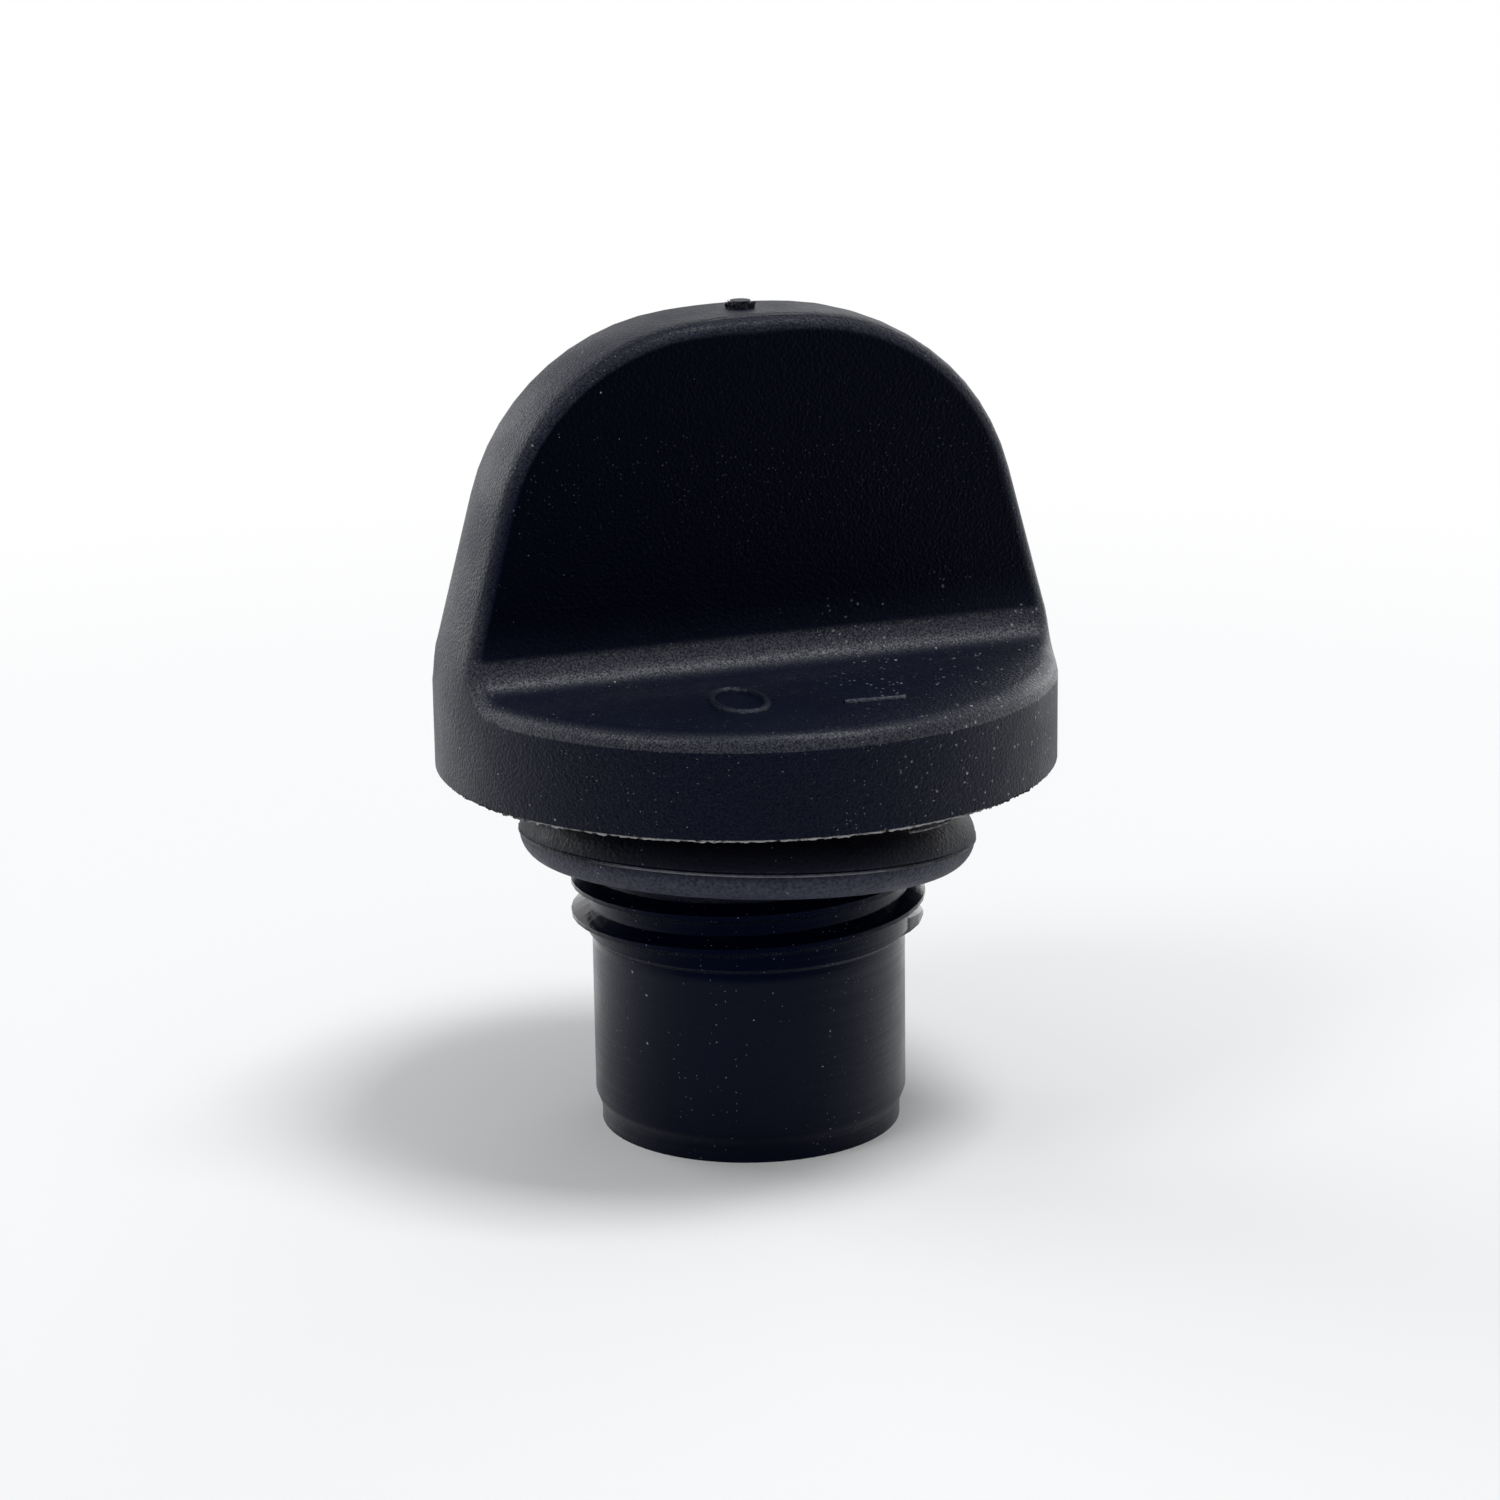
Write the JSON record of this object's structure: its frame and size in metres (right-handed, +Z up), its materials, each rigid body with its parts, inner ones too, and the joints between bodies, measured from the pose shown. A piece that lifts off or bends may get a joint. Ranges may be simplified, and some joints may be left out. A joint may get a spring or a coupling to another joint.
{
  "type": "oil filler cap",
  "caption": "Screw-in oil filler cap: round head with a tall wing grip between scoops, rubber sealing ring, short right-hand thread and long smooth hollow spigot.",
  "frame": {"origin": "centre of the spigot's end face, on the cap's axis, where the cap stands upright", "axes": "+Z up the cap's axis from the spigot to the top of the wing, X along the wing, and the scoop with the raised marks on the -Y side"},
  "size_m": [0.0556, 0.0556, 0.0748],
  "materials": {
    "black_plastic": "satin, with a fine spark-eroded grain on the head and a smoother spigot",
    "seal_rubber": "matt, with a moulding line round the middle"
  },
  "bodies": {
    "root": {"cap_body": "black_plastic", "seal_ring": "seal_rubber"}
  },
  "joints": []
}
